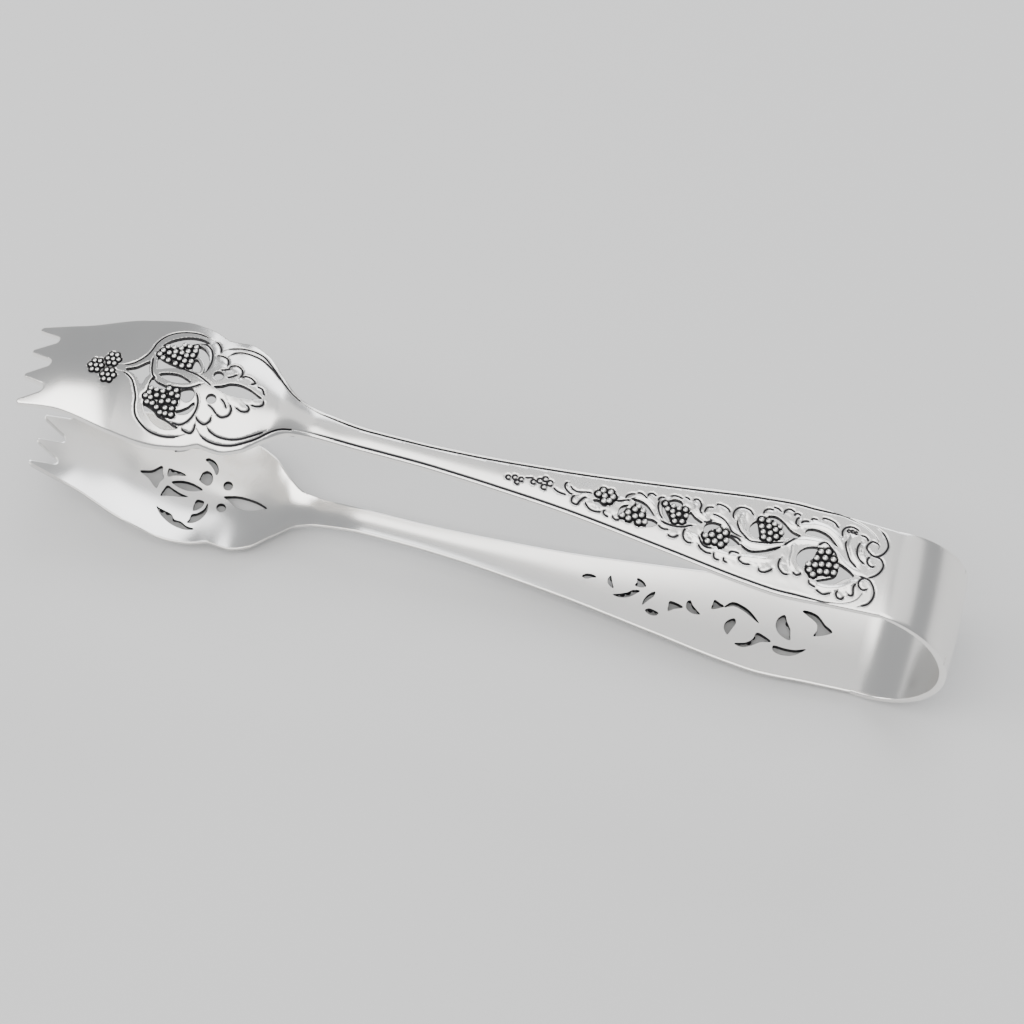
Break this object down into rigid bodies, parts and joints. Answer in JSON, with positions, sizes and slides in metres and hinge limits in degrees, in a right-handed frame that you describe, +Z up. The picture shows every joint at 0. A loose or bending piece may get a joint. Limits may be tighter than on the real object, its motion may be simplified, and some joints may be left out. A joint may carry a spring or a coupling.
{
  "type": "ice tongs",
  "caption": "Spring ice tongs bent from one strip of silver, with a sprung bow, pierced vine handles, slim shanks and cupped pierced bowls ending in toothed claws.",
  "frame": {"origin": "on the surface that the tongs lie on, under the middle of their box", "axes": "+X along the arms from the tine tips to the bow, +Z up from the lower arm to the upper arm, +Y across the strip"},
  "size_m": [0.18, 0.0258, 0.0532],
  "materials": {
    "polished_silver": "hand-polished sterling silver with fine hairline wear and a little tarnish in the engraved lines",
    "raised_silver": "bright raised silver beads with oxidised, near-black ground between them"
  },
  "bodies": {
    "bow": {"bow_crown": "polished_silver"},
    "upper_arm": {"upper_bowl": "polished_silver", "upper_bowl_bunch_far": "raised_silver", "upper_bowl_bunch_near": "raised_silver", "upper_claw": "polished_silver", "upper_handle": "polished_silver", "upper_handle_bunch_1": "raised_silver", "upper_handle_bunch_2": "raised_silver", "upper_handle_bunch_3": "raised_silver", "upper_handle_bunch_4": "raised_silver", "upper_handle_bunch_5": "raised_silver", "upper_handle_bunch_6": "raised_silver", "upper_shank": "polished_silver", "upper_shoulder": "polished_silver", "upper_trefoil": "raised_silver"},
    "lower_arm": {"lower_bowl": "polished_silver", "lower_bowl_bunch_far": "raised_silver", "lower_bowl_bunch_near": "raised_silver", "lower_claw": "polished_silver", "lower_handle": "polished_silver", "lower_handle_bunch_1": "raised_silver", "lower_handle_bunch_2": "raised_silver", "lower_handle_bunch_3": "raised_silver", "lower_handle_bunch_4": "raised_silver", "lower_handle_bunch_5": "raised_silver", "lower_handle_bunch_6": "raised_silver", "lower_shank": "polished_silver", "lower_shoulder": "polished_silver", "lower_trefoil": "raised_silver"}
  },
  "joints": [
    {"name": "upper_flex", "type": "hinge", "parent": "bow", "child": "upper_arm", "pos_m": [0.08384, 0, 0.04238], "axis": [0, -1, 0], "range_deg": [-1.5, 4.3], "stiffness_Nm_per_rad": 8},
    {"name": "lower_flex", "type": "hinge", "parent": "bow", "child": "lower_arm", "pos_m": [0.08384, 0, 0.01082], "axis": [0, 1, 0], "range_deg": [-1.5, 4.3], "stiffness_Nm_per_rad": 8}
  ],
  "couplings": [
    {"joint": "lower_flex", "follows": "upper_flex", "ratio": 1}
  ]
}
